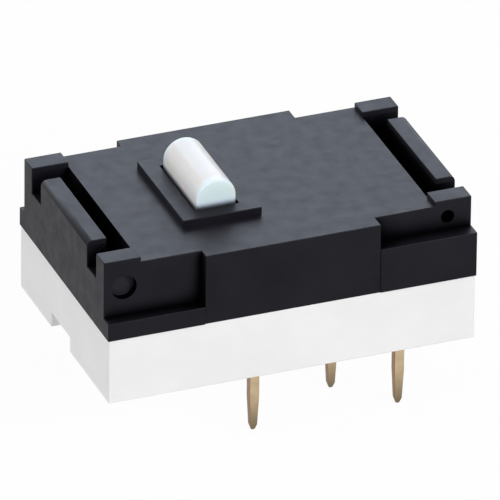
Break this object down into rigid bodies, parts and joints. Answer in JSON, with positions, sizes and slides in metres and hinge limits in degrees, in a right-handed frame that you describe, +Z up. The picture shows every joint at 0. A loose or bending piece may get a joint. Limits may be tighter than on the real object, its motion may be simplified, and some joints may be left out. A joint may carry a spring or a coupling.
{
  "type": "miniature snap switch",
  "caption": "Low two-part switch housing with a push-down plunger, square board pins and an over-centre contact mechanism inside.",
  "frame": {"origin": "centre of the housing's seating plane on the circuit board", "axes": "+X along the housing from the plunger end to the contact end, +Y to the back, +Z up out of the board towards the plunger"},
  "size_m": [0.0192, 0.0126, 0.0135],
  "materials": {
    "base_plastic": "fine matt moulding",
    "cover_plastic": "satin moulding",
    "plunger_plastic": "smooth",
    "terminal_metal": "gold flash, dull",
    "lever_metal": "rolled sheet",
    "arm_metal": "rolled copper alloy sheet",
    "spring_metal": "drawn wire",
    "contact_metal": "silver alloy"
  },
  "bodies": {
    "housing": {"base": "base_plastic", "cover": "cover_plastic", "common_terminal": "terminal_metal", "normally_open_terminal": "terminal_metal", "normally_closed_terminal": "terminal_metal", "normally_closed_contact": "contact_metal", "normally_open_contact": "contact_metal"},
    "plunger": {"plunger": "plunger_plastic"},
    "actuating_lever": {"actuating_lever": "lever_metal"},
    "contact_arm": {"contact_arm": "arm_metal", "upper_moving_contact": "contact_metal", "lower_moving_contact": "contact_metal"},
    "tension_spring": {"tension_spring": "spring_metal"}
  },
  "joints": [
    {"name": "plunger_press", "type": "slide", "parent": "housing", "child": "plunger", "axis": [0, 0, -1], "range_m": [0, 0.0008], "stiffness_N_per_m": 1500},
    {"name": "lever_tilt", "type": "hinge", "parent": "housing", "child": "actuating_lever", "pos_m": [-0.0058, 0, 0.00462], "axis": [0, 1, 0], "range_deg": [0, 14.1]},
    {"name": "arm_tilt", "type": "hinge", "parent": "housing", "child": "contact_arm", "pos_m": [0.00013, 0, 0.00438], "axis": [0, 1, 0], "range_deg": [0, 5.4]},
    {"name": "spring_swing", "type": "hinge", "parent": "contact_arm", "child": "tension_spring", "pos_m": [0.00464, 0, 0.00438], "axis": [0, -1, 0], "range_deg": [0, 12.3]}
  ],
  "couplings": [
    {"joint": "lever_tilt", "follows": "plunger_press", "rad_per_m": 306},
    {"joint": "arm_tilt", "follows": "plunger_press", "rad_per_m": 116.3},
    {"joint": "spring_swing", "follows": "plunger_press", "rad_per_m": 267}
  ]
}
